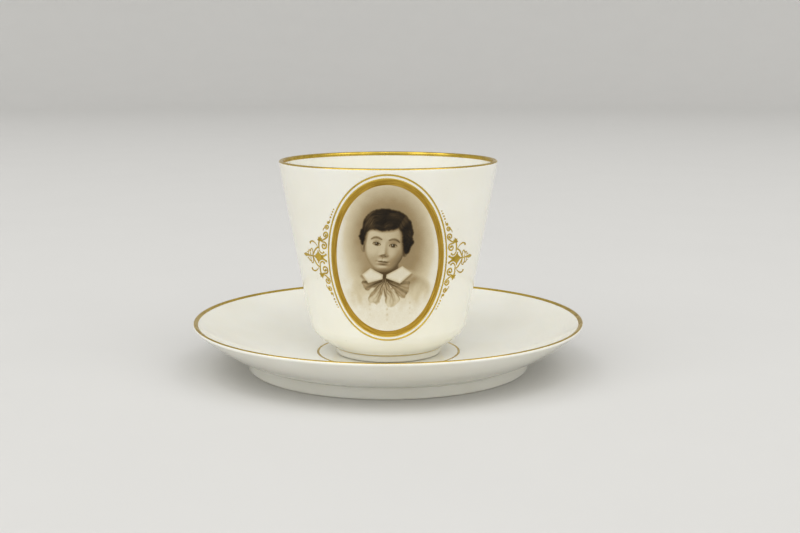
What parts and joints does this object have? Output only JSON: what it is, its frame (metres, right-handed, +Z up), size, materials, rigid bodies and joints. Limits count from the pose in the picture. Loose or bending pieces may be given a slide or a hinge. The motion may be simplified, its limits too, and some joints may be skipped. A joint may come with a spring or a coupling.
{
  "type": "chocolate cup",
  "caption": "Cone-shaped porcelain chocolate cup with a back handle, standing in a shallow saucer, with gilded lips and lines and an oval sepia picture between gilded scrolls.",
  "frame": {"origin": "on the table, under the middle of the saucer", "axes": "+Z up along the turning axis of cup and saucer, -Y towards the decorated front, the handle at +Y"},
  "size_m": [0.14, 0.14, 0.0743],
  "materials": {
    "porcelain": "clear glaze on ivory-white porcelain",
    "gold": "burnished gilding",
    "matt_gold": "matt brushed gilding",
    "picture": "sepia picture under a clear glaze"
  },
  "bodies": {
    "saucer": {"saucer_dish": "porcelain", "saucer_foot_ring": "porcelain", "saucer_lip_gilding": "gold", "saucer_well_line": "gold"},
    "cup": {"cup_bowl": "porcelain", "cup_foot_ring": "porcelain", "cup_handle": "porcelain", "cup_lip_gilding": "gold", "cup_foot_line": "gold", "handle_gilding": "gold", "medallion_picture": "picture", "medallion_band": "matt_gold", "medallion_line": "gold", "left_scrolls": "gold", "right_scrolls": "gold"}
  },
  "joints": [
    {"name": "cup_lift", "type": "slide", "parent": "saucer", "child": "cup", "axis": [0, 0, 1], "range_m": [0, 0.08]}
  ]
}
